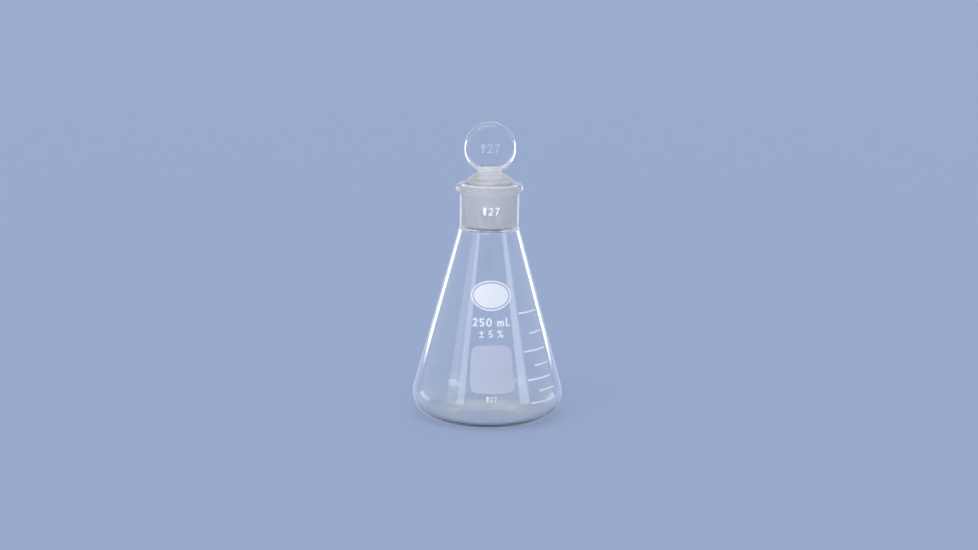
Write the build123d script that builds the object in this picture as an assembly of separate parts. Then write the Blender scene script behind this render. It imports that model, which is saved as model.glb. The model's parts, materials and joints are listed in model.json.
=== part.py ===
from build123d import *
import os
from math import acos, atan2, cos, degrees, hypot, pi, radians, sin, sqrt, tan

# A 250 mL conical (Erlenmeyer) flask with a ground-glass stopper. Millimetres.
# The origin is the centre of the base, on the surface the flask stands on.
# +Z is up. The printed side of the flask faces -Y, and so does the flat of the stopper's head.

# Conical body, blown from one tube
base_diameter = 80.0
cone_top_height = 104.0
heel_radius = 13.3
heel_wall = 2.8
body_wall = 1.8
base_thickness = 2.6
foot_ring_width = 4.0
base_push_up = 1.0

# Ground socket: a neck tube that is ground inside and fused to the top of the cone
seam_drop = 2.5
neck_length = 22.2
neck_wall = 2.2
neck_flare = 0.35
neck_foot_rounding = 6.0
bead_overhang = 1.95
bead_height = 4.3
bead_top_rounding = 2.2
bead_under_rounding = 1.8
bead_root_rounding = 1.0
bead_under_rise = 0.8
mouth_rounding = 0.8

# Ground taper that the socket and the plug share: 1 in 10 on the diameter
joint_diameter = 27.0
taper_per_length = 0.1
ground_clearance = 0.05

# Hollow stopper: ground plug, domed shoulder, and a flat round head to hold it by
plug_rise = 0.4
plug_tip_reach = 0.8
plug_wall = 2.2
plug_tip_rounding = 2.0
plug_hollow_rounding = 3.0
shoulder_height = 5.4
shoulder_bulge = 0.8
shoulder_crown = 1.8
head_neck_diameter = 13.5
head_neck_height = 4.0
head_neck_inset = 0.2
head_neck_spread = 0.6
head_neck_section_shares = (0, 0.5, 0.8, 0.95, 1)
head_diameter = 27.4
head_thickness = 7.4
head_rim_rounding = 2.9
head_sink = 0.3

# White enamel, fired onto the glass. The prints on the body are stacked up from the heel,
# each a gap above the one below it.
enamel_thickness = 0.12
enamel_low_angle = radians(30)
stopper_number_tall = 2.6
stopper_number_stroke = 0.42
patch_gap = 1.5
patch_tall = 24.4
patch_top_width = 21.0
patch_bottom_width = 23.4
patch_corner = 4.8
tolerance_gap = 4.0
tolerance_letter_tall = 3.7
tolerance_stroke = 0.62
capacity_gap = 1.9
capacity_letter_tall = 4.3
capacity_stroke = 0.85
badge_gap = 3.7
badge_width = 21.2
badge_tall = 15.4
badge_border = 0.75
badge_line = 0.65
socket_number_drop = 12.4
socket_number_tall = 4.1
socket_number_stroke = 0.62
head_number_tall = 4.6
head_number_stroke = 0.6

# Graduation lines run round the right-hand side, as angles from the front, in degrees.
# Each marks a share of the nominal capacity, which reaches a fill line below the neck.
fill_line_drop = 6.6
graduation_line = 0.85
long_line_angles = (31.8, 61.0)
short_line_angles = (42.0, 61.8)
long_line_shares = (0.2, 0.4, 0.6, 0.8)
short_line_shares = (0.3, 0.5, 0.7)


# Outline of the cone and heel. The cone line is the tangent from the foot of the neck
# to the heel's circle, so it follows the base, the neck and the heel when they change.
base_radius = base_diameter / 2
neck_radius = joint_diameter / 2 + neck_wall
heel_centre_radius = base_radius - heel_radius
centre_to_neck = hypot(neck_radius - heel_centre_radius, cone_top_height - heel_radius)
centre_to_neck_angle = atan2(cone_top_height - heel_radius, neck_radius - heel_centre_radius)
cone_half_angle = centre_to_neck_angle - acos(heel_radius / centre_to_neck)
heel_top_height = heel_radius * (1 + sin(cone_half_angle))
wall_across = body_wall / cos(cone_half_angle)
seam_height = cone_top_height - seam_drop
inner_heel_radius = heel_radius - heel_wall
inner_heel_centre_height = base_thickness + inner_heel_radius


def cone_radius(height):
    """Outer radius of the cone at a height above the table."""
    return neck_radius + (cone_top_height - height) * tan(cone_half_angle)


inner_heel_centre_radius = (
    cone_radius(inner_heel_centre_height) - wall_across - inner_heel_radius / cos(cone_half_angle)
)
inner_heel_top_height = inner_heel_centre_height + inner_heel_radius * sin(cone_half_angle)

# Heights and radii of the ground joint, counted from the lip
lip_height = cone_top_height + neck_length
neck_top_radius = neck_radius + neck_flare
bead_radius = neck_top_radius + bead_overhang
plug_top_height = lip_height + plug_rise
plug_tip_height = cone_top_height - plug_tip_reach
head_neck_start = plug_top_height + shoulder_height
head_centre_height = head_neck_start + head_diameter / 2 - head_sink

# Heights of the middles of the prints
stopper_number_height = heel_top_height + stopper_number_tall / 2
patch_height = heel_top_height + stopper_number_tall + patch_gap + patch_tall / 2
tolerance_height = patch_height + (patch_tall + tolerance_letter_tall) / 2 + tolerance_gap
capacity_height = tolerance_height + (tolerance_letter_tall + capacity_letter_tall) / 2 + capacity_gap
badge_height = capacity_height + (capacity_letter_tall + badge_tall) / 2 + badge_gap
socket_number_height = lip_height - socket_number_drop


def plug_radius(height):
    """Radius of the ground plug at a height, from the shared taper."""
    return joint_diameter / 2 - (lip_height - height) * taper_per_length / 2


def socket_radius(height):
    """Radius of the ground socket at a height: the plug's and its clearance."""
    return plug_radius(height) + ground_clearance


def neck_outer_radius(height):
    """Outer radius of the straight stretch of the neck tube."""
    return neck_radius + neck_flare * (height - cone_top_height) / neck_length


def inner_radius(height):
    """Inner radius of the body at a height above its floor."""
    if height >= inner_heel_top_height:
        return cone_radius(height) - wall_across
    drop = min(abs(height - inner_heel_centre_height), inner_heel_radius)
    return inner_heel_centre_radius + (inner_heel_radius ** 2 - drop ** 2) ** 0.5


def slice_volumes(step=0.05):
    """Heights of thin discs stacked up from the floor to the fill line, and their volumes."""
    fill_line = cone_top_height - fill_line_drop
    count = round((fill_line - base_thickness) / step)
    heights = [base_thickness + (index + 1) * step for index in range(count)]
    return [(height, pi * inner_radius(height - step / 2) ** 2 * step) for height in heights]


def fill_height(share):
    """Height of the liquid that is a share of the nominal capacity."""
    slices = slice_volumes()
    volume_left = share * sum(volume for _, volume in slices)
    for height, volume in slices:
        volume_left -= volume
        if volume_left <= 0:
            return height
    return slices[-1][0]


def spun(outline):
    """Solid made by turning a closed outline in the XZ plane about the Z axis."""
    return revolve(make_face(outline), Axis.Z)


def in_profile(radius, height):
    """Point of a spun outline, in the XZ plane."""
    return (radius, 0, height)


def heel_point(angle, out=0.0):
    """Point of the heel's circle, or out from it. The angle is up from level."""
    reach = heel_radius + out
    return in_profile(heel_centre_radius + reach * cos(angle), heel_radius + reach * sin(angle))


def inner_heel_point(angle):
    """Point of the circle that rounds the inside of the heel. The angle is up from level."""
    return in_profile(
        inner_heel_centre_radius + inner_heel_radius * cos(angle),
        inner_heel_centre_height + inner_heel_radius * sin(angle),
    )


def make_flask_body():
    """Blown cone with a rounded heel, a flat foot ring and a pushed-up base."""
    foot_inner = heel_centre_radius - foot_ring_width
    straight_down = radians(-90)
    middle = (straight_down + cone_half_angle) / 2
    outer_heel = ThreePointArc(
        heel_point(straight_down), heel_point(middle), heel_point(cone_half_angle)
    )
    inner_heel = ThreePointArc(
        inner_heel_point(cone_half_angle), inner_heel_point(middle), inner_heel_point(straight_down)
    )
    outer_seam = in_profile(cone_radius(seam_height), seam_height)
    inner_seam = in_profile(cone_radius(seam_height) - wall_across, seam_height)
    floor_middle = in_profile(0, base_thickness + base_push_up)
    base_middle = in_profile(0, base_push_up)
    floor = Spline(
        inner_heel @ 1, floor_middle, tangents=[(-1, 0, 0), (-1, 0, 0)]
    )
    base = Spline(
        base_middle, in_profile(foot_inner, 0), tangents=[(1, 0, 0), (1, 0, 0)]
    )
    outline = [
        base,
        Line(in_profile(foot_inner, 0), outer_heel @ 0),
        outer_heel,
        Line(outer_heel @ 1, outer_seam),
        Line(outer_seam, inner_seam),
        Line(inner_seam, inner_heel @ 0),
        inner_heel,
        floor,
        Line(floor_middle, base_middle),
    ]
    return spun(outline)


def make_neck_socket():
    """Neck tube with a beaded lip, ground inside, and a foot that flares to meet the cone."""
    seam_outer = cone_radius(seam_height)
    seam_inner = seam_outer - wall_across
    bead_root_height = lip_height - bead_height
    outside = FilletPolyline(
        in_profile(seam_outer, seam_height),
        in_profile(neck_radius, cone_top_height),
        in_profile(neck_outer_radius(bead_root_height), bead_root_height),
        in_profile(bead_radius, bead_root_height + bead_under_rise),
        in_profile(bead_radius, lip_height),
        in_profile(socket_radius(lip_height), lip_height),
        in_profile(socket_radius(cone_top_height), cone_top_height),
        radius=[
            neck_foot_rounding,
            bead_root_rounding,
            bead_under_rounding,
            bead_top_rounding,
            mouth_rounding,
        ],
    )
    cone_lean = (sin(cone_half_angle), 0, -cos(cone_half_angle))
    flare = Spline(
        in_profile(socket_radius(cone_top_height), cone_top_height),
        in_profile(seam_inner, seam_height),
        tangents=[(-taper_per_length / 2, 0, -1), cone_lean],
    )
    foot = Line(in_profile(seam_inner, seam_height), in_profile(seam_outer, seam_height))
    return spun([outside, flare, foot])


def make_stopper_plug():
    """Ground tapered plug, closed at its tip and hollow inside."""
    hollow_top = plug_radius(plug_top_height) - plug_wall
    hollow_floor = plug_tip_height + plug_wall
    hollow_bottom = plug_radius(hollow_floor) - plug_wall
    outline = FilletPolyline(
        in_profile(0, plug_tip_height),
        in_profile(plug_radius(plug_tip_height), plug_tip_height),
        in_profile(plug_radius(plug_top_height), plug_top_height),
        in_profile(hollow_top, plug_top_height),
        in_profile(hollow_bottom, hollow_floor),
        in_profile(0, hollow_floor),
        radius=[plug_tip_rounding, 0, 0, plug_hollow_rounding],
    )
    axis = Line(in_profile(0, hollow_floor), in_profile(0, plug_tip_height))
    return spun([outline, axis])


def make_stopper_shoulder():
    """Domed shoulder that closes the hollow plug and carries the head."""
    rim = plug_radius(plug_top_height)
    hollow_rim = rim - plug_wall
    crown = in_profile(0, head_neck_start)
    hollow_crown = in_profile(0, head_neck_start - shoulder_crown)
    neck_edge = in_profile(head_neck_diameter / 2, head_neck_start)
    slope = atan2(shoulder_height, rim - head_neck_diameter / 2)
    dome_middle = in_profile(
        (rim + head_neck_diameter / 2) / 2 + shoulder_bulge * sin(slope),
        (plug_top_height + head_neck_start) / 2 + shoulder_bulge * cos(slope),
    )
    outer_dome = ThreePointArc(in_profile(rim, plug_top_height), dome_middle, neck_edge)
    inner_dome = Spline(
        hollow_crown,
        in_profile(hollow_rim, plug_top_height),
        tangents=[(1, 0, 0), (0.5, 0, -1)],
    )
    outline = [
        outer_dome,
        Line(neck_edge, crown),
        Line(crown, hollow_crown),
        inner_dome,
        Line(in_profile(hollow_rim, plug_top_height), in_profile(rim, plug_top_height)),
    ]
    return spun(outline)


def head_neck_section(share):
    """Level section of the neck, a share of the way up: round below, thin at the top."""
    closed_depth = head_thickness / 2 - head_neck_inset
    foot = head_neck_diameter / 2
    return Plane.XY.offset(head_neck_start + head_neck_height * share) * Ellipse(
        foot + head_neck_spread * share,
        closed_depth + (foot - closed_depth) * sqrt(1 - share**2),
    )


def make_stopper_head():
    """Solid round head, pressed flat front and back, on a round neck that closes onto it."""
    disc_plane = Plane.XZ.offset(-head_thickness / 2)
    disc = extrude(disc_plane * Circle(head_diameter / 2), amount=head_thickness)
    disc = fillet(disc.edges().filter_by(GeomType.CIRCLE), head_rim_rounding)
    disc = disc.moved(Location((0, 0, head_centre_height)))
    neck = loft([head_neck_section(share) for share in head_neck_section_shares])
    return split(disc + neck, bisect_by=Plane.XY.offset(head_neck_start), keep=Keep.TOP)


def stroke(points, width):
    """Flat ribbon of one width along straight runs."""
    return trace(Polyline(*points), line_width=width)


def ring(width, tall, pen):
    """Flat oval ring whose outside is width by tall, centred at the origin."""
    return Ellipse(width / 2, tall / 2) - Ellipse(width / 2 - pen, tall / 2 - pen)


def glyph_two(tall, pen):
    """The digit 2, with its lower left corner at the origin."""
    w = 0.62 * tall
    r = (w - pen) / 2
    hook = CenterArc((w / 2, tall - pen / 2 - r), r, 170, -205)
    foot = Polyline(hook @ 1, (pen * 0.75, pen / 2), (w, pen / 2))
    return trace(hook, line_width=pen) + trace(foot, line_width=pen)


def glyph_five(tall, pen):
    """The digit 5, with its lower left corner at the origin."""
    w = 0.62 * tall
    r = 0.31 * tall - pen / 2
    flag = Polyline(
        (w * 0.94, tall - pen / 2), (pen * 0.75, tall - pen / 2), (pen * 0.55, tall * 0.5)
    )
    bowl = CenterArc((w - r - pen / 2, r + pen / 2), r, 140, -285)
    return trace(flag, line_width=pen) + trace(bowl, line_width=pen)


def glyph_zero(tall, pen):
    """The digit 0, with its lower left corner at the origin."""
    w = 0.7 * tall
    return Pos(w / 2, tall / 2) * ring(w, tall, pen)


def glyph_seven(tall, pen):
    """The digit 7, with its lower left corner at the origin."""
    w = 0.62 * tall
    return stroke([(0, tall - pen / 2), (w - pen / 2, tall - pen / 2), (0.3 * w, 0)], pen)


def glyph_m(tall, pen):
    """The letter m, with its lower left corner at the origin."""
    x_height = 0.68 * tall
    w = 0.86 * tall
    r = (w - pen) / 4
    arch_height = x_height - pen / 2 - r
    letter = stroke([(pen / 2, 0), (pen / 2, x_height)], pen)
    for foot_x in (pen / 2, pen / 2 + 2 * r):
        arch = CenterArc((foot_x + r, arch_height), r, 180, -180)
        leg = Line(arch @ 1, (foot_x + 2 * r, 0))
        letter += trace(arch, line_width=pen) + trace(leg, line_width=pen)
    return letter


def glyph_l(tall, pen):
    """The capital letter L, with its lower left corner at the origin."""
    return stroke([(pen / 2, tall), (pen / 2, pen / 2), (0.52 * tall, pen / 2)], pen)


def glyph_plus_minus(tall, pen):
    """The plus-or-minus sign, with its lower left corner at the origin."""
    w = 0.62 * tall
    cross_height = 0.62 * tall
    cross = stroke([(0, cross_height), (w, cross_height)], pen)
    upright = stroke([(w / 2, cross_height - w / 2), (w / 2, cross_height + w / 2)], pen)
    return cross + upright + stroke([(0, pen / 2), (w, pen / 2)], pen)


def glyph_percent(tall, pen):
    """The percent sign, with its lower left corner at the origin."""
    w = 0.86 * tall
    eye = 0.42 * tall
    slash = stroke([(0.2 * w, 0), (0.8 * w, tall)], pen * 0.8)
    upper = Pos(eye / 2, tall - eye / 2) * ring(eye, eye, pen * 0.8)
    lower = Pos(w - eye / 2, eye / 2) * ring(eye, eye, pen * 0.8)
    return slash + upper + lower


def glyph_taper(tall, pen):
    """A tapered plug seen from the side, the sign for a ground joint. It is filled in."""
    w = 0.5 * tall
    tip = max(0.26 * w, w / 2 - pen)
    return Polygon((0, tall), (w, tall), (w - tip, 0), (tip, 0), align=None)


GLYPHS = {
    "2": (glyph_two, 0.62),
    "5": (glyph_five, 0.62),
    "0": (glyph_zero, 0.7),
    "7": (glyph_seven, 0.62),
    "m": (glyph_m, 0.86),
    "L": (glyph_l, 0.52),
    "+": (glyph_plus_minus, 0.62),
    "%": (glyph_percent, 0.86),
    "v": (glyph_taper, 0.5),
}


def line_of_type(text, tall, pen, gap=0.2, space=0.45):
    """Row of glyphs, centred at the origin. The sign + stands for plus-or-minus."""
    placed = []
    x = 0.0
    for letter in text:
        if letter == " ":
            x += space * tall
            continue
        draw, width = GLYPHS[letter]
        placed.append((draw, x))
        x += (width + gap) * tall
    row_width = x - gap * tall
    shape = Sketch()
    for draw, left in placed:
        shape += Pos(left - row_width / 2, -tall / 2) * draw(tall, pen)
    return shape


def body_enamel_layer():
    """Thin layer that lies all over the outside of the heel and the cone."""
    across = enamel_thickness / cos(cone_half_angle)
    low = -enamel_low_angle
    middle = (low + cone_half_angle) / 2
    seam = in_profile(cone_radius(seam_height), seam_height)
    seam_out = in_profile(cone_radius(seam_height) + across, seam_height)
    glass_arc = ThreePointArc(heel_point(low), heel_point(middle), heel_point(cone_half_angle))
    outer_arc = ThreePointArc(
        heel_point(cone_half_angle, enamel_thickness),
        heel_point(middle, enamel_thickness),
        heel_point(low, enamel_thickness),
    )
    outline = [
        glass_arc,
        Line(glass_arc @ 1, seam),
        Line(seam, seam_out),
        Line(seam_out, outer_arc @ 0),
        outer_arc,
        Line(outer_arc @ 1, glass_arc @ 0),
    ]
    return spun(outline)


def neck_enamel_layer():
    """Thin layer that lies on the outside of the neck tube, round the joint size."""
    low = socket_number_height - socket_number_tall
    high = socket_number_height + socket_number_tall
    outline = Polyline(
        in_profile(neck_outer_radius(low), low),
        in_profile(neck_outer_radius(low) + enamel_thickness, low),
        in_profile(neck_outer_radius(high) + enamel_thickness, high),
        in_profile(neck_outer_radius(high), high),
        close=True,
    )
    return spun(outline)


def front_print(drawing, height, layer):
    """Part of an enamel layer that lies straight behind a flat drawing on the front."""
    placed = Plane.XZ * (Pos(0, height) * drawing)
    return layer & extrude(placed, amount=base_diameter, dir=(0, -1, 0))


def make_oval_badge():
    """Blank oval: a border and a plain field with a clear line between them."""
    inset = 2 * (badge_border + badge_line)
    field = Ellipse((badge_width - inset) / 2, (badge_tall - inset) / 2)
    drawing = ring(badge_width, badge_tall, badge_border) + field
    return front_print(drawing, badge_height, body_enamel_layer())


def make_capacity_mark():
    """Capacity, 250 mL."""
    drawing = line_of_type("250 mL", capacity_letter_tall, capacity_stroke)
    return front_print(drawing, capacity_height, body_enamel_layer())


def make_tolerance_mark():
    """Tolerance on the volume, plus or minus 5 %."""
    drawing = line_of_type("+ 5 %", tolerance_letter_tall, tolerance_stroke)
    return front_print(drawing, tolerance_height, body_enamel_layer())


def make_writing_patch():
    """Panel to write on: its sides lean with the cone and its corners are round."""
    half_tall = patch_tall / 2
    panel = Polygon(
        (-patch_bottom_width / 2, -half_tall),
        (patch_bottom_width / 2, -half_tall),
        (patch_top_width / 2, half_tall),
        (-patch_top_width / 2, half_tall),
        align=None,
    )
    panel = fillet(panel.vertices(), patch_corner)
    return front_print(panel, patch_height, body_enamel_layer())


def make_stopper_number_mark():
    """Number of the stopper that fits, low on the body between the heel and the panel."""
    drawing = line_of_type("v27", stopper_number_tall, stopper_number_stroke)
    return front_print(drawing, stopper_number_height, body_enamel_layer())


def make_socket_size_mark():
    """Joint size on the front of the ground socket."""
    drawing = line_of_type("v27", socket_number_tall, socket_number_stroke)
    return front_print(drawing, socket_number_height, neck_enamel_layer())


def make_stopper_size_mark():
    """Joint size on the flat front of the stopper's head."""
    drawing = line_of_type("v27", head_number_tall, head_number_stroke)
    face = Plane.XZ.offset(head_thickness / 2) * (Pos(0, head_centre_height) * drawing)
    return extrude(face, amount=enamel_thickness, dir=(0, -1, 0))


def make_graduation(share, angles):
    """One graduation line: the body's enamel layer cut to a band part of the way round."""
    low = fill_height(share) - graduation_line / 2
    start, end = angles
    slot = Polyline(
        in_profile(neck_radius / 2, low),
        in_profile(base_diameter, low),
        in_profile(base_diameter, low + graduation_line),
        in_profile(neck_radius / 2, low + graduation_line),
        close=True,
    )
    wedge = revolve(make_face(slot), Axis.Z, revolution_arc=end - start)
    return body_enamel_layer() & (Rot(0, 0, start - 90) * wedge)


def make_graduation_lines(shares, angles):
    """Group of graduation lines, one separate solid for each share."""
    return Compound(children=[make_graduation(share, angles) for share in shares])


NODES = {
    "flask_body": make_flask_body,
    "neck_socket": make_neck_socket,
    "oval_badge": make_oval_badge,
    "capacity_mark": make_capacity_mark,
    "tolerance_mark": make_tolerance_mark,
    "writing_patch": make_writing_patch,
    "stopper_number_mark": make_stopper_number_mark,
    "graduation_long_lines": lambda: make_graduation_lines(long_line_shares, long_line_angles),
    "graduation_short_lines": lambda: make_graduation_lines(short_line_shares, short_line_angles),
    "socket_size_mark": make_socket_size_mark,
    "stopper_plug": make_stopper_plug,
    "stopper_shoulder": make_stopper_shoulder,
    "stopper_head": make_stopper_head,
    "stopper_size_mark": make_stopper_size_mark,
}

os.makedirs("parts", exist_ok=True)
for name, make in NODES.items():
    export_step(make(), f"parts/{name}.step")

capacity = sum(volume for _, volume in slice_volumes()) / 1000
print(f"cone half angle {degrees(cone_half_angle):.2f} degrees, capacity {capacity:.1f} mL")
for line_share in sorted(long_line_shares + short_line_shares):
    print(f"{line_share:.1f} of the capacity reaches {fill_height(line_share):.1f} mm")
print(f"overall height {head_centre_height + head_diameter / 2:.1f} mm")
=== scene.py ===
"""A stoppered conical flask of borosilicate glass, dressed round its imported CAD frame.

The glass is spun and pressed in fine meshes that stand for the CAD solids; the fired enamel
prints stay as the CAD made them. All lengths are in metres, in the frame's own axes.
"""
import json
import logging
from collections.abc import Callable
from dataclasses import dataclass, field
from enum import Enum
from math import acos, asin, atan2, cos, hypot, pi, radians, sin, tan

import bpy
from mathutils import Matrix, Vector

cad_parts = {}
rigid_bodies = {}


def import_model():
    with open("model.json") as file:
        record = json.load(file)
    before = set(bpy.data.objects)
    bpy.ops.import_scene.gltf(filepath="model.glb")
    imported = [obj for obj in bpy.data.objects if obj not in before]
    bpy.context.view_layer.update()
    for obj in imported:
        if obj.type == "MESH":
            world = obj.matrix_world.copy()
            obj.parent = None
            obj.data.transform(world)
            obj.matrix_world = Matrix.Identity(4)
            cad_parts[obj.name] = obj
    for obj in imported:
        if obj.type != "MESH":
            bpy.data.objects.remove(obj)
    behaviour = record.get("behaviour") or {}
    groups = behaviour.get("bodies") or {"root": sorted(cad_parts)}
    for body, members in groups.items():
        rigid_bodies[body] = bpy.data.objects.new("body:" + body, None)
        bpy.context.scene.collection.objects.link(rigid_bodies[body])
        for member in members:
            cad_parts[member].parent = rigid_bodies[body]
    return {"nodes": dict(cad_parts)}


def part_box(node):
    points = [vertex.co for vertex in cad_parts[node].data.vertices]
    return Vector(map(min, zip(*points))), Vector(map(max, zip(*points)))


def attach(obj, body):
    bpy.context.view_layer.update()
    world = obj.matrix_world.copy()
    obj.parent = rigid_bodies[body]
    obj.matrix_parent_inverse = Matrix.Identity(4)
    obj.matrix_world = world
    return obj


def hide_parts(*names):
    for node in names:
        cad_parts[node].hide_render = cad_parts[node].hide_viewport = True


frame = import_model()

LOG = logging.getLogger("flask")
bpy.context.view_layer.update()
MM = 0.001
UPRIGHT = (0.0, 0.0, 1.0)
MERGE_DISTANCE = 0.002 * MM
SAME_HEIGHT = 0.01 * MM
SAME_SURFACE = 0.1 * MM
FLAT_FACE = 0.9
Point = tuple[float, float]


class Zone(Enum):
    """The finishes that glass wears, each over its own part of a piece."""

    POLISHED = 0
    GROUND = 1
    PRESSED = 2
    CLOUDED = 3
    INSIDE = 4


# ---------------------------------------------------------------- colours and nodes


def linear(hex_colour: str) -> tuple[float, float, float, float]:
    """Turn an sRGB hex colour into linear light.

    Args:
        hex_colour: colour such as "#F2F1FA".

    Returns:
        Linear red, green, blue and an alpha of one.
    """
    channels = [int(hex_colour[at : at + 2], 16) / 255 for at in (1, 3, 5)]
    low = [value / 12.92 for value in channels]
    high = [((value + 0.055) / 1.055) ** 2.4 for value in channels]
    mixed = [a if value <= 0.04045 else b for value, a, b in zip(channels, low, high)]
    return (mixed[0], mixed[1], mixed[2], 1.0)


def add_node(
    tree: bpy.types.NodeTree,
    kind: str,
    settings: dict[str, object] | None = None,
    links: dict[str, bpy.types.NodeSocket] | None = None,
) -> bpy.types.Node:
    """Add one node with its settings and its incoming links.

    Args:
        tree: node tree to add to.
        kind: node's type name.
        settings: input names or node properties, and their values.
        links: input names and the sockets that feed them.

    Returns:
        The new node.
    """
    node = tree.nodes.new(kind)
    for name, value in (settings or {}).items():
        if name in node.inputs:
            node.inputs[name].default_value = value
        else:
            setattr(node, name, value)
    for name, source in (links or {}).items():
        tree.links.new(source, node.inputs[name])
    return node


def new_material(name: str) -> tuple[bpy.types.Material, bpy.types.NodeTree]:
    """Make an empty node material and return it with its tree."""
    material = bpy.data.materials.new(name)
    material.use_nodes = True
    material.node_tree.nodes.clear()
    return material, material.node_tree


# ---------------------------------------------------------------- finishes


@dataclass(frozen=True)
class PolishedGlass:
    """Borosilicate glass, blown or pressed and fire-polished: clear, glossy, hardly tinted.

    The eye sees the floor through it, bright lines where it curves away, and a faint
    unevenness left by the blowing. A sheen layer paints a soft bright glow along its outlines,
    a painted highlight that stands in for light the glass gathers there.
    """

    name: str = "borosilicate_glass_fire_polished"
    colour: str = "#FFFFFF"
    ior: float = 1.473
    roughness: float = 0.0
    # painted highlight: a sheen layer that puts a soft bright glow along every outline
    painted_edge_sheen: float = 1.0
    painted_edge_sheen_roughness: float = 0.3
    wave_length: float = 14 * MM
    wave_height: float = 0.012 * MM

    def material(self) -> bpy.types.Material:
        """Build the material: clear glass with slow waves in its surface."""
        material, tree = new_material(self.name)
        place = add_node(tree, "ShaderNodeTexCoord")
        waves = add_node(
            tree,
            "ShaderNodeTexNoise",
            {"Scale": 1 / self.wave_length, "Detail": 1.0},
            {"Vector": place.outputs["Object"]},
        )
        bump = add_node(
            tree,
            "ShaderNodeBump",
            {"Strength": 1.0, "Distance": self.wave_height},
            {"Height": waves.outputs["Fac"]},
        )
        shader = add_node(
            tree,
            "ShaderNodeBsdfPrincipled",
            {
                "Base Color": linear(self.colour),
                "IOR": self.ior,
                "Roughness": self.roughness,
                "Transmission Weight": 1.0,
                # painted highlight: the sheen brightens the glass along its outlines
                "Sheen Weight": self.painted_edge_sheen,
                "Sheen Roughness": self.painted_edge_sheen_roughness,
            },
            {"Normal": bump.outputs["Normal"]},
        )
        add_node(tree, "ShaderNodeOutputMaterial", links={"Surface": shader.outputs["BSDF"]})
        return material


@dataclass(frozen=True)
class InsideGlass(PolishedGlass):
    """The inside of the blown glass: clear, with none of the painted sheen that lights the outlines
    outside.
    """

    name: str = "borosilicate_glass_blown_inside"
    painted_edge_sheen: float = 0.0


@dataclass(frozen=True)
class GroundGlass:
    """Borosilicate glass ground with fine abrasive: milky, even, with no clear view through it."""

    name: str = "borosilicate_glass_ground"
    colour: str = "#FDFDFE"
    ior: float = 1.473
    roughness: float = 0.5
    clear_share: float = 0.3
    grit: float = 0.25 * MM
    grit_height: float = 0.02 * MM

    def material(self) -> bpy.types.Material:
        """Build the material: rough transmission with a share of white scatter and a fine grain."""
        material, tree = new_material(self.name)
        place = add_node(tree, "ShaderNodeTexCoord")
        grain = add_node(
            tree,
            "ShaderNodeTexNoise",
            {"Scale": 1 / self.grit, "Detail": 2.0},
            {"Vector": place.outputs["Object"]},
        )
        bump = add_node(
            tree,
            "ShaderNodeBump",
            {"Strength": 0.6, "Distance": self.grit_height},
            {"Height": grain.outputs["Fac"]},
        )
        shader = add_node(
            tree,
            "ShaderNodeBsdfPrincipled",
            {
                "Base Color": linear(self.colour),
                "IOR": self.ior,
                "Roughness": self.roughness,
                "Transmission Weight": self.clear_share,
            },
            {"Normal": bump.outputs["Normal"]},
        )
        add_node(tree, "ShaderNodeOutputMaterial", links={"Surface": shader.outputs["BSDF"]})
        return material


@dataclass(frozen=True)
class PressedGlass(GroundGlass):
    """Borosilicate glass that cooled against a mould: satin and a little rippled, half clear."""

    name: str = "borosilicate_glass_mould_pressed"
    roughness: float = 0.3
    clear_share: float = 0.62
    grit: float = 1.6 * MM
    grit_height: float = 0.03 * MM


@dataclass(frozen=True)
class CloudedGlass(GroundGlass):
    """Borosilicate glass clouded where two hot parts were squeezed together: milky and smooth."""

    name: str = "borosilicate_glass_hot_squeezed"
    roughness: float = 0.35
    clear_share: float = 0.62
    grit: float = 1.2 * MM


@dataclass(frozen=True)
class FiredEnamel:
    """White ceramic enamel, screen printed and fired: slightly uneven, with a dull gloss.

    The layer is thin, so light soaks through it and its back is not dark.
    """

    name: str = "ceramic_enamel_screen_printed"
    colour: str = "#F4F3FB"
    thin_colour: str = "#D9DCEA"
    roughness: float = 0.38
    mesh_pitch: float = 0.6 * MM
    soak: float = 1.0
    soak_depth: float = 0.35 * MM
    glow: float = 0.0

    def material(self) -> bpy.types.Material:
        """Build the material: white ink whose cover varies a little at the screen's pitch."""
        material, tree = new_material(self.name)
        place = add_node(tree, "ShaderNodeTexCoord")
        cover = add_node(
            tree,
            "ShaderNodeTexNoise",
            {"Scale": 1 / self.mesh_pitch, "Detail": 3.0},
            {"Vector": place.outputs["Object"]},
        )
        colour = add_node(
            tree,
            "ShaderNodeMix",
            {"data_type": "RGBA"},
            {"Factor": cover.outputs["Fac"]},
        )
        colour.inputs[6].default_value = linear(self.colour)
        colour.inputs[7].default_value = linear(self.thin_colour)
        shader = add_node(
            tree,
            "ShaderNodeBsdfPrincipled",
            {
                "Roughness": self.roughness,
                "Subsurface Weight": self.soak,
                "Subsurface Radius": (1.0, 1.0, 1.0),
                "Subsurface Scale": self.soak_depth,
                "Emission Color": linear(self.colour),
                "Emission Strength": self.glow,
            },
            {"Base Color": colour.outputs[2]},
        )
        add_node(tree, "ShaderNodeOutputMaterial", links={"Surface": shader.outputs["BSDF"]})
        return material


@dataclass(frozen=True)
class GlowingHeavyEnamel(FiredEnamel):
    """A heavy coat of the enamel, for the small mark on the socket: its whitest, and crisp.

    Real enamel has no glow. The slight one here is an aid to the renderer, whose smoothing
    of noise takes such small strokes away in front of ground glass.
    """

    name: str = "ceramic_enamel_heavy_coat_painted_glow"
    colour: str = "#FAFAFF"
    thin_colour: str = "#F0F1FA"
    # painted glow: the print gives out a little light of its own, though it is no lamp
    glow: float = 0.2


@dataclass(frozen=True)
class ThinEnamel(FiredEnamel):
    """A thin coat of the enamel, for the faint mark on the stopper's head."""

    name: str = "ceramic_enamel_thin"
    colour: str = "#C6CDE2"
    thin_colour: str = "#B4BDD6"
    roughness: float = 0.5


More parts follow.
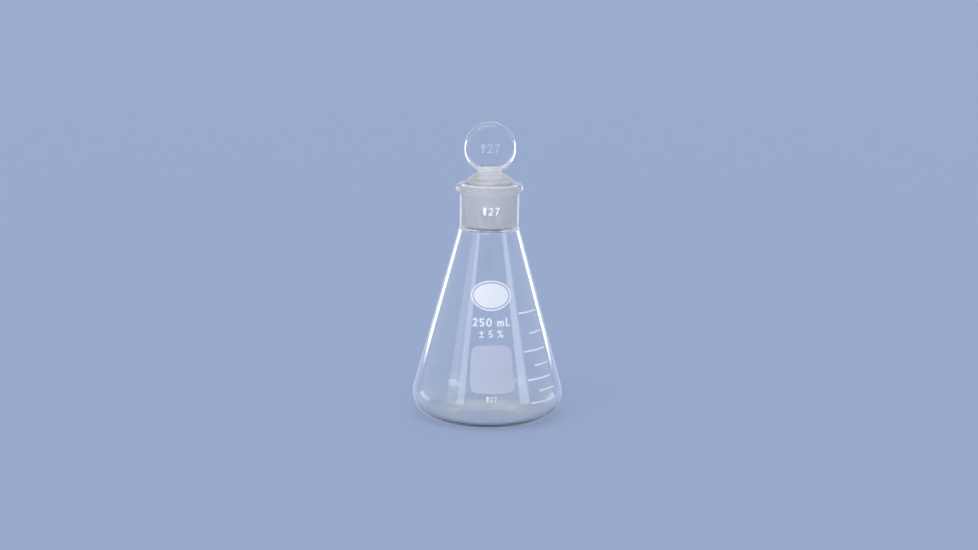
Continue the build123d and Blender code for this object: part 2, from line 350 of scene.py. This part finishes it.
@dataclass(frozen=True)
class MattEnamel(FiredEnamel):
    """Matt enamel that takes a pencil: greyer than the prints, flat, with no gloss."""

    name: str = "ceramic_enamel_matt"
    colour: str = "#BABFCD"
    thin_colour: str = "#B0B5C4"
    roughness: float = 0.7


# ---------------------------------------------------------------- outlines


def arc(centre: Point, radius: float, start: float, end: float, steps: int) -> list[Point]:
    """Points round part of a circle.

    Args:
        centre: radius and height of the circle's centre.
        radius: the circle's radius.
        start: first angle, in radians, up from level.
        end: last angle.
        steps: number of steps between them.

    Returns:
        The points, both ends included.
    """
    turns = [start + (end - start) * step / steps for step in range(steps + 1)]
    return [(centre[0] + radius * cos(turn), centre[1] + radius * sin(turn)) for turn in turns]


def straight(start: Point, end: Point, steps: int) -> list[Point]:
    """Points along a straight line, both ends included."""
    shares = [step / steps for step in range(steps + 1)]
    return [
        (start[0] + (end[0] - start[0]) * share, start[1] + (end[1] - start[1]) * share)
        for share in shares
    ]


def flowing(start: Point, leave: Point, end: Point, arrive: Point, steps: int) -> list[Point]:
    """Points on a smooth curve with a given direction at each end.

    Args:
        start: first point.
        leave: direction at the start; its length sets how far the curve holds it.
        end: last point.
        arrive: direction at the end.
        steps: number of steps.

    Returns:
        The points, both ends included.
    """
    points = []
    for step in range(steps + 1):
        t = step / steps
        a = 2 * t**3 - 3 * t**2 + 1
        b = t**3 - 2 * t**2 + t
        c = -2 * t**3 + 3 * t**2
        d = t**3 - t**2
        ends = zip(start, leave, end, arrive)
        points.append(tuple(a * p + b * q + c * r + d * s for p, q, r, s in ends))
    return points


def rounded(before: Point, corner: Point, after: Point, radius: float, steps: int) -> list[Point]:
    """Points of the arc that rounds one corner of an outline.

    Args:
        before: a point on the line into the corner.
        corner: the sharp corner.
        after: a point on the line out of it.
        radius: the rounding's radius.
        steps: number of steps along the arc.

    Returns:
        The arc's points, from the line in to the line out.
    """
    into = (Vector(before) - Vector(corner)).normalized()
    out = (Vector(after) - Vector(corner)).normalized()
    half = into.angle(out) / 2
    middle = Vector(corner) + (into + out).normalized() * (radius / sin(half))
    first = Vector(corner) + into * (radius / tan(half)) - middle
    last = Vector(corner) + out * (radius / tan(half)) - middle
    start = atan2(first.y, first.x)
    turn = atan2(last.y, last.x) - start
    turn = (turn + pi) % (2 * pi) - pi
    return arc((middle.x, middle.y), radius, start, start + turn, steps)


# ---------------------------------------------------------------- modelling by hand


def deselect_all() -> None:
    """Leave edit mode with nothing selected."""
    if bpy.context.object and bpy.context.object.mode != "OBJECT":
        bpy.ops.object.mode_set(mode="OBJECT")
    bpy.ops.object.select_all(action="DESELECT")


def only(piece: bpy.types.Object) -> None:
    """Select one object alone and make it active."""
    deselect_all()
    piece.select_set(True)
    bpy.context.view_layer.objects.active = piece


def draw_outline(name: str, outline: list[Point]) -> bpy.types.Object:
    """Draw an outline in the XZ plane, one extrusion for each point.

    Args:
        name: the new piece's name.
        outline: radius and height of each point, in order.

    Returns:
        The piece, as a chain of edges, still selected.
    """
    deselect_all()
    bpy.ops.mesh.primitive_plane_add(size=MM, location=(0, 0, 0))
    piece = bpy.context.object
    piece.name = name
    bpy.ops.object.mode_set(mode="EDIT")
    bpy.ops.mesh.merge(type="CENTER")
    bpy.ops.mesh.select_mode(type="VERT")
    bpy.ops.mesh.select_all(action="SELECT")
    radius, height = outline[0]
    bpy.ops.transform.translate(value=(radius, 0, height))
    for (r0, z0), (r1, z1) in zip(outline, outline[1:]):
        step = {"value": (r1 - r0, 0, z1 - z0)}
        bpy.ops.mesh.extrude_region_move(TRANSFORM_OT_translate=step)
    bpy.ops.mesh.select_all(action="SELECT")
    return piece


def spin_outline(
    name: str, outline: list[Point], turns: int, inwards: bool = False
) -> bpy.types.Object:
    """Spin an outline into a closed shell about Z.

    Args:
        name: the piece's name.
        outline: radius and height of each point, from pole to pole or as a closed ring.
        turns: number of steps round.
        inwards: True for the wall of a hollow, whose faces look into the hollow.

    Returns:
        The spun piece.
    """
    piece = draw_outline(name, outline)
    bpy.ops.mesh.spin(steps=turns, angle=2 * pi, center=(0, 0, 0), axis=UPRIGHT)
    bpy.ops.mesh.select_all(action="SELECT")
    bpy.ops.mesh.remove_doubles(threshold=MERGE_DISTANCE)
    bpy.ops.mesh.select_all(action="SELECT")
    bpy.ops.mesh.normals_make_consistent(inside=inwards)
    bpy.ops.object.mode_set(mode="OBJECT")
    return piece


def apply_modifier(piece: bpy.types.Object, kind: str, settings: dict[str, object]) -> None:
    """Add one modifier to a piece and apply it."""
    only(piece)
    modifier = piece.modifiers.new(kind.title(), kind)
    for name, value in settings.items():
        setattr(modifier, name, value)
    bpy.ops.object.modifier_apply(modifier=modifier.name)


def finish_mesh(piece: bpy.types.Object, crease: float = 40.0) -> None:
    """Shade a piece smooth up to a crease angle in degrees."""
    only(piece)
    bpy.ops.object.shade_smooth_by_angle(angle=radians(crease))
    deselect_all()


def dress_zones(
    piece: bpy.types.Object,
    finishes: dict[Zone, bpy.types.Material],
    zone_at: Callable[[float, float, float], Zone],
) -> None:
    """Give each face of a piece of glass the finish of its zone.

    Args:
        piece: the piece.
        finishes: the material of each zone.
        zone_at: tells a face's zone from its radius, its height and how far it looks outward.
    """
    only(piece)
    while piece.data.materials:
        piece.data.materials.pop()
    for zone in finishes:
        piece.data.materials.append(finishes[zone])
    slots = {zone: slot for slot, zone in enumerate(finishes)}
    for face in piece.data.polygons:
        radius = hypot(face.center.x, face.center.y)
        outward = (face.normal.x * face.center.x + face.normal.y * face.center.y) / max(radius, MM)
        face.material_index = slots[zone_at(radius, face.center.z, outward)]


# ---------------------------------------------------------------- glass


@dataclass
class GroundJoint:
    """The taper that socket and plug share: 1 in 10 on the diameter."""

    large_radius: float = 13.5 * MM
    taper: float = 0.05
    clearance: float = 0.05 * MM
    lip_height: float = field(default_factory=lambda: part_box("neck_socket")[1].z)

    def plug_radius(self, height: float) -> float:
        """Radius of the plug at a height."""
        return self.large_radius - (self.lip_height - height) * self.taper

    def socket_radius(self, height: float) -> float:
        """Radius of the socket at a height."""
        return self.plug_radius(height) + self.clearance


@dataclass
class FlaskGlass:
    """The blown cone and the ground socket that is fused onto it, as one piece of glass."""

    joint: GroundJoint
    base_radius: float = field(default_factory=lambda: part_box("flask_body")[1].x)
    seam_height: float = field(default_factory=lambda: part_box("flask_body")[1].z)
    bead_radius: float = field(default_factory=lambda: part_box("neck_socket")[1].x)
    seam_drop: float = 2.5 * MM
    neck_wall: float = 2.2 * MM
    neck_flare: float = 0.35 * MM
    neck_foot_rounding: float = 6.0 * MM
    heel_radius: float = 13.3 * MM
    heel_wall: float = 2.8 * MM
    body_wall: float = 1.8 * MM
    base_thickness: float = 2.6 * MM
    foot_ring_width: float = 4.0 * MM
    base_push_up: float = 1.0 * MM
    bead_height: float = 4.3 * MM
    bead_top_rounding: float = 2.2 * MM
    bead_under_rounding: float = 1.8 * MM
    bead_root_rounding: float = 1.0 * MM
    bead_under_rise: float = 0.8 * MM
    mouth_rounding: float = 0.8 * MM
    wall_end: float = 3.0 * MM
    bore_start: float = 2.0 * MM
    seam_hold: float = 1.2
    turns: int = 192

    def __post_init__(self) -> None:
        """Work out the cone that runs from the foot of the neck to the heel's circle.

        The cone's lean is the one at which it meets the heel's circle without a corner.
        """
        self.cone_top = self.seam_height + self.seam_drop
        self.neck_radius = self.joint.large_radius + self.neck_wall
        self.heel_centre = (self.base_radius - self.heel_radius, self.heel_radius)
        rise = self.cone_top - self.heel_radius
        run = self.neck_radius - self.heel_centre[0]
        self.lean = atan2(rise, run) - acos(self.heel_radius / hypot(rise, run))
        inner_radius = self.heel_radius - self.heel_wall
        inner_height = self.base_thickness + inner_radius
        across = (self.body_wall + inner_radius) / cos(self.lean)
        self.inner_heel_radius = inner_radius
        self.inner_heel_centre = (self.cone_radius(inner_height) - across, inner_height)

    def cone_radius(self, height: float) -> float:
        """Outer radius of the cone at a height."""
        return self.neck_radius + (self.cone_top - height) * tan(self.lean)

    def outside(self) -> list[Point]:
        """Outline from the middle of the base, up the outside, over the lip."""
        foot_inner = self.heel_centre[0] - self.foot_ring_width
        lip = self.joint.lip_height
        bore = self.joint.socket_radius(lip)
        root_height = lip - self.bead_height
        share = (root_height - self.cone_top) / (lip - self.cone_top)
        heel_top = arc(self.heel_centre, self.heel_radius, self.lean, self.lean, 1)[0]
        wall_height = self.cone_top - self.wall_end
        wall_top = (self.cone_radius(wall_height), wall_height)
        foot = (self.neck_radius, self.cone_top)
        root = (self.neck_radius + self.neck_flare * share, root_height)
        under = (self.bead_radius, root_height + self.bead_under_rise)
        brow = (self.bead_radius, lip)
        mouth = (bore, lip)
        base_hold = (foot_inner, 0.0)
        bore_foot = (self.joint.socket_radius(self.cone_top), self.cone_top)
        return [
            *flowing((0.0, self.base_push_up), base_hold, (foot_inner, 0.0), base_hold, 16),
            *arc(self.heel_centre, self.heel_radius, -pi / 2, self.lean, 40),
            *straight(heel_top, wall_top, 40),
            *rounded(heel_top, foot, root, self.neck_foot_rounding, 8),
            *rounded(foot, root, under, self.bead_root_rounding, 8),
            *rounded(root, under, brow, self.bead_under_rounding, 10),
            *rounded(under, brow, mouth, self.bead_top_rounding, 14),
            *rounded(brow, mouth, bore_foot, self.mouth_rounding, 8),
        ]

    def inside(self) -> list[Point]:
        """Outline from the mouth down the ground bore, the cone and the floor."""
        bore_foot = (self.joint.socket_radius(self.cone_top), self.cone_top)
        seam_radius = self.cone_radius(self.seam_height) - self.body_wall / cos(self.lean)
        seam = (seam_radius, self.seam_height)
        inner_top = arc(self.inner_heel_centre, self.inner_heel_radius, self.lean, self.lean, 1)[0]
        hold = self.seam_drop * self.seam_hold
        down = (-self.joint.taper * hold, -hold)
        along = (sin(self.lean) * hold, -cos(self.lean) * hold)
        floor_hold = (-self.inner_heel_centre[0], 0.0)
        middle = (0.0, self.base_thickness + self.base_push_up)
        floor_edge = (self.inner_heel_centre[0], self.base_thickness)
        bore_top = self.joint.lip_height - self.bore_start
        mouth = (self.joint.socket_radius(bore_top), bore_top)
        return [
            *straight(mouth, bore_foot, 20)[:-1],
            *flowing(bore_foot, down, seam, along, 14),
            *straight(seam, inner_top, 40)[1:-1],
            *arc(self.inner_heel_centre, self.inner_heel_radius, self.lean, -pi / 2, 32),
            *flowing(floor_edge, floor_hold, middle, floor_hold, 16)[1:],
        ]

    def build(self) -> bpy.types.Object:
        """Spin the glass and let it ride on the flask.

        Returns:
            The flask's glass.
        """
        outline = self.outside() + self.inside()
        piece = spin_outline("flask_glass", outline, self.turns)
        finish_mesh(piece)
        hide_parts("flask_body", "neck_socket")
        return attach(piece, "flask")

    def dress(self, piece: bpy.types.Object, finishes: dict[Zone, bpy.types.Material]) -> None:
        """Grind the bore, leave the rest of the inside as blown and polish the outside.

        The underside of the base wears the finish of the inside too, so it carries no painted edge
        sheen either.

        Args:
            piece: the flask's glass.
            finishes: the material of each zone.
        """

        def zone_at(radius: float, height: float, outward: float) -> Zone:
            """Tell the zone of a face of the flask from its place and its outward look."""
            near = abs(radius - self.joint.socket_radius(height)) < SAME_SURFACE
            if near and outward < 0 and height > self.cone_top:
                return Zone.GROUND
            in_base = radius < self.inner_heel_centre[0] and height < self.heel_radius
            return Zone.INSIDE if outward < 0 or in_base else Zone.POLISHED

        dress_zones(piece, finishes, zone_at)


@dataclass
class StopperGlass:
    """Hollow ground plug, domed shoulder and flat round head, fused into one piece of glass."""

    joint: GroundJoint
    tip_height: float = field(default_factory=lambda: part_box("stopper_plug")[0].z)
    rim_height: float = field(default_factory=lambda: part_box("stopper_plug")[1].z)
    neck_start: float = field(default_factory=lambda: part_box("stopper_shoulder")[1].z)
    head_top: float = field(default_factory=lambda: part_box("stopper_head")[1].z)
    wall: float = 2.2 * MM
    tip_rounding: float = 2.0 * MM
    hollow_rounding: float = 3.0 * MM
    rim_rounding: float = 0.35 * MM
    shoulder_bulge: float = 0.8 * MM
    shoulder_crown: float = 1.8 * MM
    neck_radius: float = 6.75 * MM
    neck_height: float = 4.0 * MM
    neck_rings: int = 14
    neck_fillet: float = 0.8 * MM
    neck_spread: float = 0.6 * MM
    neck_inset: float = 0.2 * MM
    head_radius: float = 13.7 * MM
    head_thickness: float = 7.4 * MM
    head_rounding: float = 2.9 * MM
    turns: int = 160
    dome_hold: float = 0.9
    dome_swell: float = 3.2
    crown_spring: float = 0.5
    crown_lean: float = -0.1

    def outside(self) -> list[Point]:
        """Outline from the middle of the tip up to the foot of the neck, left open there."""
        tip = (self.joint.plug_radius(self.tip_height), self.tip_height)
        rim = (self.joint.plug_radius(self.rim_height), self.rim_height)
        neck = (self.neck_radius, self.neck_start)
        above = (self.neck_radius, self.neck_start + self.neck_height)
        chord = Vector(neck) - Vector(rim)
        bulge = Vector((chord.y, -chord.x)).normalized() * self.shoulder_bulge
        hold = chord * self.dome_hold
        swell = bulge * self.dome_swell
        dome = flowing(rim, tuple(hold + swell), neck, tuple(hold - swell), 18)
        return [
            (0.0, self.tip_height),
            *rounded((0.0, self.tip_height), tip, rim, self.tip_rounding, 10),
            *straight(tip, rim, 24)[3:-1],
            *rounded(tip, rim, dome[1], self.rim_rounding, 5),
            *dome[2:-2],
            *rounded(dome[-3], neck, above, self.neck_fillet, 6),
        ]

    def hollow(self) -> list[Point]:
        """Outline of the hollow, from pole to pole."""
        floor = self.tip_height + self.wall
        foot = (self.joint.plug_radius(floor) - self.wall, floor)
        shoulder = (self.joint.plug_radius(self.rim_height) - self.wall, self.rim_height)
        crown = (0.0, self.neck_start - self.shoulder_crown)
        reach = shoulder[0]
        spring = (self.crown_lean * reach, self.crown_spring * reach)
        return [
            (0.0, floor),
            *rounded((0.0, floor), foot, shoulder, self.hollow_rounding, 12),
            *straight(foot, shoulder, 20)[4:],
            *flowing(shoulder, spring, crown, (-reach, 0.0), 20)[1:],
        ]

    def looks_in(self, radius: float, height: float) -> bool:
        """Tell whether a place lies on the wall of the hollow, not on the outside of the dome.

        Args:
            radius: the place's distance from the middle.
            height: its height.

        Returns:
            True on the wall of the hollow.
        """
        span = self.neck_start - self.rim_height
        share = max(0.0, (height - self.rim_height) / span)
        rim = self.joint.plug_radius(self.rim_height)
        outer = rim + (self.neck_radius - rim) * share
        return radius < outer - self.wall / 3

    def raise_neck(self, piece: bpy.types.Object) -> None:
        """Draw the open ring at the top of the shoulder up, and close it.

        Each ring is a level section of the neck, round below and thin at the top.

        Args:
            piece: the spun stopper, open at its top.
        """
        only(piece)
        top = max(vertex.co.z for vertex in piece.data.vertices)
        for vertex in piece.data.vertices:
            vertex.select = abs(vertex.co.z - top) < SAME_HEIGHT
        bpy.ops.object.mode_set(mode="EDIT")
        bpy.ops.mesh.select_mode(type="VERT")
        closed = self.head_thickness / 2 - self.neck_inset
        first = asin((top - self.neck_start) / self.neck_height)
        wide, deep, height = self.neck_radius, self.neck_radius, top
        for step in range(1, self.neck_rings + 1):
            turn = first + (pi / 2 - first) * step / self.neck_rings
            wide_next = self.neck_radius + self.neck_spread * sin(turn)
            deep_next = closed + (self.neck_radius - closed) * cos(turn)
            height_next = self.neck_start + self.neck_height * sin(turn)
            rise = {"value": (0, 0, height_next - height)}
            bpy.ops.mesh.extrude_region_move(TRANSFORM_OT_translate=rise)
            bpy.ops.transform.resize(
                value=(wide_next / wide, deep_next / deep, 1),
                center_override=(0, 0, height_next),
            )
            wide, deep, height = wide_next, deep_next, height_next
        bpy.ops.mesh.edge_face_add()
        bpy.ops.mesh.select_all(action="SELECT")
        bpy.ops.mesh.normals_make_consistent(inside=False)
        bpy.ops.object.mode_set(mode="OBJECT")

    def press_head(self) -> bpy.types.Object:
        """Press the flat round head: a thick disc whose two edges are rounded.

        Returns:
            The head, standing on its rim.
        """
        deselect_all()
        middle = (0, 0, self.head_top - self.head_radius)
        bpy.ops.mesh.primitive_cylinder_add(
            vertices=self.turns,
            radius=self.head_radius,
            depth=self.head_thickness,
            location=middle,
            rotation=(pi / 2, 0, 0),
        )
        head = bpy.context.object
        head.name = "stopper_head_disc"
        bpy.ops.object.transform_apply(location=True, rotation=True, scale=True)
        bpy.ops.object.mode_set(mode="EDIT")
        bpy.ops.mesh.select_mode(type="FACE")
        bpy.ops.mesh.select_all(action="DESELECT")
        bpy.ops.object.mode_set(mode="OBJECT")
        for face in head.data.polygons:
            face.select = abs(face.normal.y) > FLAT_FACE
        bpy.ops.object.mode_set(mode="EDIT")
        bpy.ops.mesh.region_to_loop()
        bpy.ops.mesh.bevel(offset=self.head_rounding, segments=12, profile=0.5, affect="EDGES")
        bpy.ops.object.mode_set(mode="OBJECT")
        return head

    def build(self) -> bpy.types.Object:
        """Spin, draw and press the stopper, fuse it and open its hollow.

        Returns:
            The stopper's glass.
        """
        piece = spin_outline("stopper_glass", self.outside(), self.turns)
        self.raise_neck(piece)
        head = self.press_head()
        apply_modifier(piece, "BOOLEAN", {"operation": "UNION", "object": head, "solver": "EXACT"})
        bpy.data.objects.remove(head)
        hollow = spin_outline("stopper_hollow", self.hollow(), self.turns, inwards=True)
        deselect_all()
        hollow.select_set(True)
        piece.select_set(True)
        bpy.context.view_layer.objects.active = piece
        bpy.ops.object.join()
        finish_mesh(piece, 30)
        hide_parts("stopper_plug", "stopper_shoulder", "stopper_head")
        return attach(piece, "stopper")

    def dress(self, piece: bpy.types.Object, finishes: dict[Zone, bpy.types.Material]) -> None:
        """Grind the plug's outside, press its hollow, cloud the neck and polish the rest.

        Args:
            piece: the stopper's glass.
            finishes: the material of each zone.
        """

        def zone_at(radius: float, height: float, outward: float) -> Zone:
            """Tell the zone of a face of the stopper from its place and its outward look."""
            near = abs(radius - self.joint.plug_radius(height)) < SAME_SURFACE
            if near and outward > 0 and height < self.rim_height:
                return Zone.GROUND
            neck_top = self.neck_start + self.neck_height
            if self.neck_start < height < neck_top and radius < self.neck_radius + 2 * MM:
                return Zone.CLOUDED
            low = self.tip_height + self.wall / 2
            high = self.neck_start - self.shoulder_crown / 2
            deep = self.joint.plug_radius(height) - self.wall / 2
            in_hollow = low < height < high and radius < deep and self.looks_in(radius, height)
            return Zone.PRESSED if in_hollow else Zone.POLISHED

        dress_zones(piece, finishes, zone_at)


# ---------------------------------------------------------------- prints


@dataclass
class EnamelPrints:
    """The white prints on glass, whose shapes come ready from the CAD."""

    white: tuple[str, ...] = (
        "oval_badge",
        "capacity_mark",
        "tolerance_mark",
        "stopper_number_mark",
        "graduation_long_lines",
        "graduation_short_lines",
    )
    heavy: str = "socket_size_mark"
    thin: tuple[str, ...] = ("stopper_size_mark",)
    panel: str = "writing_patch"

    def dress(
        self,
        enamel: bpy.types.Material,
        heavy: bpy.types.Material,
        thin: bpy.types.Material,
        matt: bpy.types.Material,
    ) -> None:
        """Fire each print with its enamel.

        Args:
            enamel: the usual white coat, for most prints.
            heavy: the heavy coat with its slight painted glow, for the mark on the socket.
            thin: the thin coat, for the mark on the stopper's head.
            matt: the matt coat, for the writing panel.
        """
        finishes = {name: enamel for name in self.white} | {self.heavy: heavy, self.panel: matt}
        finishes |= {name: thin for name in self.thin}
        for name, material in finishes.items():
            mesh = frame["nodes"][name].data
            mesh.materials.clear()
            mesh.materials.append(material)


# ---------------------------------------------------------------- studio


def towards(azimuth: float, elevation: float) -> Vector:
    """Direction that leads from the object to something that stands round it.

    Args:
        azimuth: degrees from the front towards the right.
        elevation: degrees above the level.

    Returns:
        The direction, of length one.
    """
    turn, rise = radians(azimuth), radians(elevation)
    return Vector((sin(turn) * cos(rise), -cos(turn) * cos(rise), sin(rise)))


@dataclass
class Softbox:
    """A soft light with a rectangular face that hangs round the object and looks at it.

    Its azimuth is counted from the front towards the right, in degrees, and its height is
    the angle above the floor at which the object sees its middle.
    """

    name: str
    azimuth: float
    elevation: float
    distance: float
    width: float
    tall: float
    radiance: float
    aim_height: float = 80 * MM

    def build(self, receivers: bpy.types.Collection) -> bpy.types.Object:
        """Hang the light so that it falls on the object alone and leaves the floor even.

        Args:
            receivers: collection of the pieces that it lights.

        Returns:
            The light.
        """
        target = Vector((0.0, 0.0, self.aim_height))
        way = towards(self.azimuth, self.elevation)
        lamp = bpy.data.lights.new(self.name, "AREA")
        lamp.shape = "RECTANGLE"
        lamp.size = self.width
        lamp.size_y = self.tall
        lamp.energy = self.radiance * pi * self.width * self.tall
        light = bpy.data.objects.new(self.name, lamp)
        bpy.context.scene.collection.objects.link(light)
        light.location = target + way * self.distance
        light.rotation_euler = (-way).to_track_quat("-Z", "Y").to_euler()
        light.visible_camera = False
        light.light_linking.receiver_collection = receivers
        return light


@dataclass
class Studio:
    """Plain pale floor, soft lights all round, an even sky and the camera."""

    floor_colour: str = "#55617A"
    floor_glow_colour: str = "#ABBCDC"
    floor_glow: float = 0.52
    floor_size: float = 16.0
    floor_roughness: float = 0.9
    floor_gloss: float = 0.1
    paper_tooth: float = 10 / 9 * MM
    paper_tooth_height: float = 0.05 * MM
    sky_colour: str = "#DFE6F3"
    sky_strength: float = 0.78
    key_azimuth: float = -18.0
    key_elevation: float = 56.0
    key_spread: float = 60.0
    key_power: float = 1.8
    lens: float = 96.7
    distance: float = 1.4025
    pitch: float = 11.23
    azimuth: float = -3.5
    roll: float = 0.67
    look_height: float = 76.83 * MM
    look_right: float = 0.2 * MM
    boxes: tuple[Softbox, ...] = (
        Softbox("soft_front_left", -46, 15, 1.2, 0.26, 0.8, 2.2),
        Softbox("soft_far_left", -62, 15, 1.2, 0.32, 0.8, 1.0),
        Softbox("soft_front_right", 57.2, 15, 1.2, 0.344, 0.8, 2.2),
        Softbox("soft_rear_left", -148.5, 4.2, 0.42, 0.1, 0.22, 1.8),
        Softbox("soft_rear_right", 141.5, 4.2, 0.42, 0.1, 0.22, 1.8),
    )

    def build_floor(self) -> None:
        """Lay the floor, matt paper that gives out more light of its own than it reflects."""
        deselect_all()
        bpy.ops.mesh.primitive_plane_add(size=self.floor_size, location=(0, 0, 0))
        floor = bpy.context.object
        floor.name = "studio_floor"
        material, tree = new_material("matt_paper_sweep")
        place = add_node(tree, "ShaderNodeTexCoord")
        tooth = add_node(
            tree,
            "ShaderNodeTexNoise",
            {"Scale": 1 / self.paper_tooth, "Detail": 3.0},
            {"Vector": place.outputs["Object"]},
        )
        bump = add_node(
            tree,
            "ShaderNodeBump",
            {"Strength": 0.15, "Distance": self.paper_tooth_height},
            {"Height": tooth.outputs["Fac"]},
        )
        shader = add_node(
            tree,
            "ShaderNodeBsdfPrincipled",
            {
                "Base Color": linear(self.floor_colour),
                "Roughness": self.floor_roughness,
                "Specular IOR Level": self.floor_gloss,
                "Emission Color": linear(self.floor_glow_colour),
                "Emission Strength": self.floor_glow,
            },
            {"Normal": bump.outputs["Normal"]},
        )
        add_node(tree, "ShaderNodeOutputMaterial", links={"Surface": shader.outputs["BSDF"]})
        floor.data.materials.append(material)

    def build_sky(self) -> None:
        """Light everything evenly from all round."""
        world = bpy.data.worlds.new("even_sky")
        world.use_nodes = True
        bpy.context.scene.world = world
        background = world.node_tree.nodes["Background"]
        background.inputs["Color"].default_value = linear(self.sky_colour)
        background.inputs["Strength"].default_value = self.sky_strength

    def build_key(self) -> None:
        """Hang a wide soft key light, high in front, that falls evenly on the whole floor."""
        lamp = bpy.data.lights.new("soft_key", "SUN")
        lamp.angle = radians(self.key_spread)
        lamp.energy = self.key_power
        light = bpy.data.objects.new("soft_key", lamp)
        bpy.context.scene.collection.objects.link(light)
        way = towards(self.key_azimuth, self.key_elevation)
        light.rotation_euler = (-way).to_track_quat("-Z", "Y").to_euler()

    def build_boxes(self) -> None:
        """Hang the soft boxes once the pieces that they light are built."""
        pieces = bpy.data.collections.new("lit_pieces")
        for piece in bpy.context.scene.objects:
            if piece.type == "MESH" and piece.name != "studio_floor":
                pieces.objects.link(piece)
        for box in self.boxes:
            box.build(pieces)

    def build_camera(self) -> None:
        """Set the camera a little left of the front, looking slightly down."""
        data = bpy.data.cameras.new("camera")
        data.lens = self.lens
        camera = bpy.data.objects.new("camera", data)
        bpy.context.scene.collection.objects.link(camera)
        turn = radians(self.azimuth)
        back = towards(self.azimuth, self.pitch)
        right = Vector((cos(turn), sin(turn), 0))
        target = Vector((0, 0, self.look_height)) + right * self.look_right
        look = (-back).to_track_quat("-Z", "Y").to_matrix().to_4x4()
        tilt = Matrix.Rotation(radians(self.roll), 4, "Z")
        camera.matrix_world = Matrix.Translation(target + back * self.distance) @ look @ tilt
        bpy.context.scene.camera = camera

    def set_up_renderer(self) -> None:
        """Let light through many walls of glass, and show colours plainly."""
        scene = bpy.context.scene
        scene.view_settings.view_transform = "Standard"
        scene.cycles.max_bounces = 32
        scene.cycles.transmission_bounces = 32
        scene.cycles.glossy_bounces = 12
        scene.cycles.diffuse_bounces = 10
        scene.cycles.transparent_max_bounces = 16
        scene.cycles.caustics_refractive = True
        scene.cycles.caustics_reflective = True
        scene.cycles.blur_glossy = 0.6
        scene.cycles.sample_clamp_indirect = 2.5
        scene.cycles.use_denoising = True

    def build(self) -> None:
        """Build all of the studio but its soft boxes."""
        self.build_floor()
        self.build_sky()
        self.build_key()
        self.build_camera()
        self.set_up_renderer()


def main() -> None:
    """Build the studio and every piece, in order."""
    logging.basicConfig(level=logging.INFO, format="%(message)s")
    studio = Studio()
    studio.build()
    LOG.info("studio ready")
    polished = PolishedGlass().material()
    ground = GroundGlass().material()
    pressed = PressedGlass().material()
    clouded = CloudedGlass().material()
    inside = InsideGlass().material()
    finishes = {Zone.POLISHED: polished, Zone.GROUND: ground}
    joint = GroundJoint()
    flask = FlaskGlass(joint)
    glass = flask.build()
    flask.dress(glass, finishes | {Zone.INSIDE: inside})
    LOG.info("%s: %d faces", glass.name, len(glass.data.polygons))
    stopper = StopperGlass(joint)
    plug = stopper.build()
    stopper.dress(plug, finishes | {Zone.PRESSED: pressed, Zone.CLOUDED: clouded})
    LOG.info("%s: %d faces", plug.name, len(plug.data.polygons))
    enamel = FiredEnamel().material()
    heavy = GlowingHeavyEnamel().material()
    thin = ThinEnamel().material()
    matt = MattEnamel().material()
    EnamelPrints().dress(enamel, heavy, thin, matt)
    LOG.info("prints dressed")
    studio.build_boxes()


if __name__ == "__main__":
    main()
